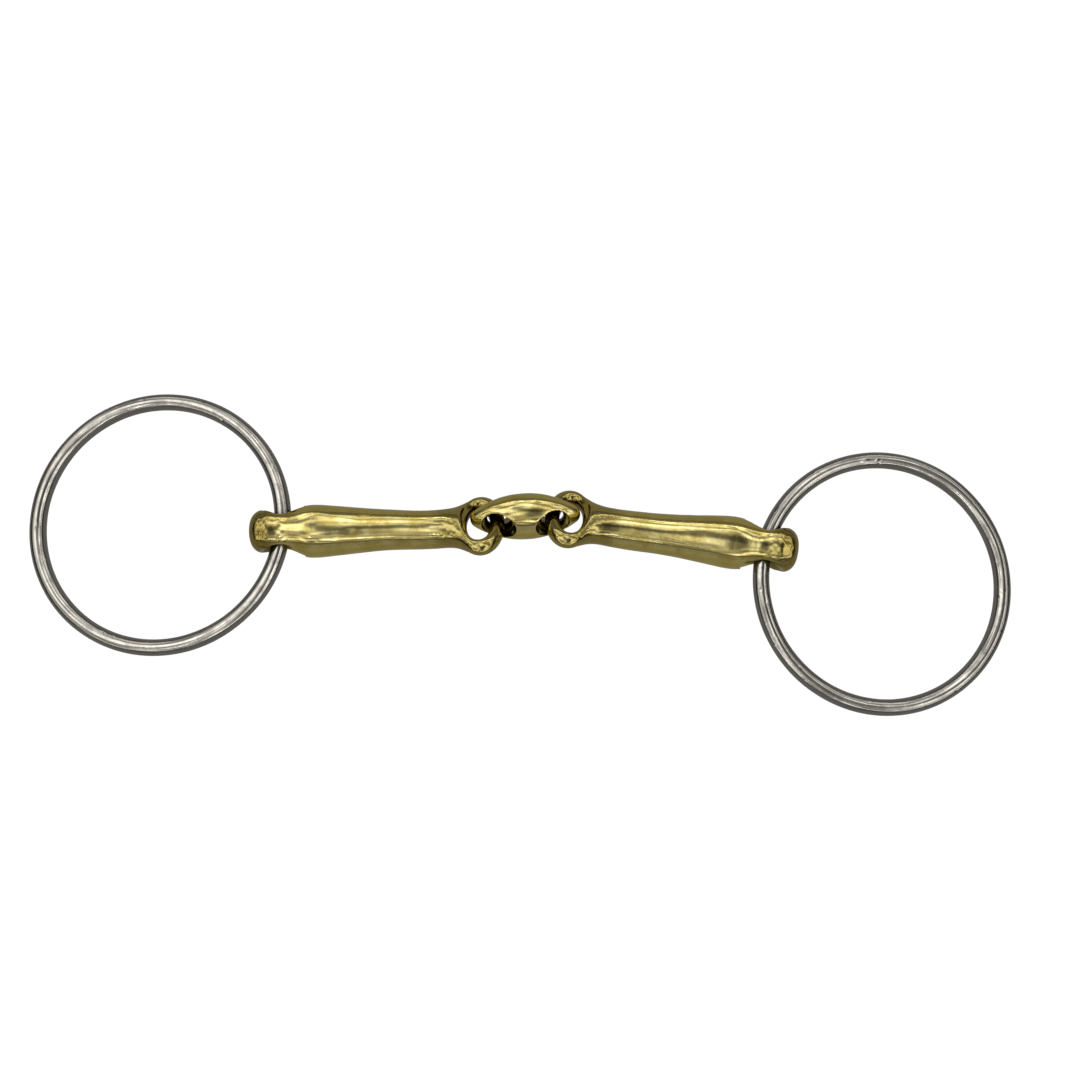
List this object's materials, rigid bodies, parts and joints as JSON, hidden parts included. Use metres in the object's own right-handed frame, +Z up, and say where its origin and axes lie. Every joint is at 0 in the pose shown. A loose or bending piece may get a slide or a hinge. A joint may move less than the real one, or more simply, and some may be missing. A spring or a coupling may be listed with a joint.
{
  "type": "loose ring snaffle bit",
  "caption": "Double-jointed loose-ring snaffle: tapered cannons with oval eyes, angled lens-shaped centre link, plain round-wire rings.",
  "frame": {"origin": "middle of the bit's footprint, on the table it lies on", "axes": "+X along the mouthpiece towards the right ring, +Z up from the table"},
  "size_m": [0.2621, 0.0858, 0.0165],
  "materials": {
    "mouth_alloy": "polished golden copper alloy with fine wear",
    "ring_steel": "polished stainless steel with fine lengthwise scratches"
  },
  "bodies": {
    "centre_link": {"centre_link": "mouth_alloy"},
    "left_cannon": {"left_cannon": "mouth_alloy"},
    "right_cannon": {"right_cannon": "mouth_alloy"},
    "left_ring": {"left_ring": "ring_steel"},
    "right_ring": {"right_ring": "ring_steel"}
  },
  "joints": [
    {"name": "left_cannon_hinge", "type": "hinge", "parent": "centre_link", "child": "left_cannon", "pos_m": [-0.01138, 0.00873, 0.00745], "axis": [-0.0336, 0.6419, 0.766], "range_deg": [-45, 25]},
    {"name": "right_cannon_hinge", "type": "hinge", "parent": "centre_link", "child": "right_cannon", "pos_m": [0.01318, 0.01001, 0.00745], "axis": [0.0336, -0.6419, -0.766], "range_deg": [-50, 20]},
    {"name": "left_ring_swing", "type": "hinge", "parent": "left_cannon", "child": "left_ring", "pos_m": [-0.06315, 0.00518, 0.0072], "axis": [-0.0122, 0.9999, 0], "range_deg": [-100, 100]},
    {"name": "right_ring_swing", "type": "hinge", "parent": "right_cannon", "child": "right_ring", "pos_m": [0.06428, 0.00124, 0.00766], "axis": [-0.1253, -0.9921, 0], "range_deg": [-100, 100]}
  ]
}
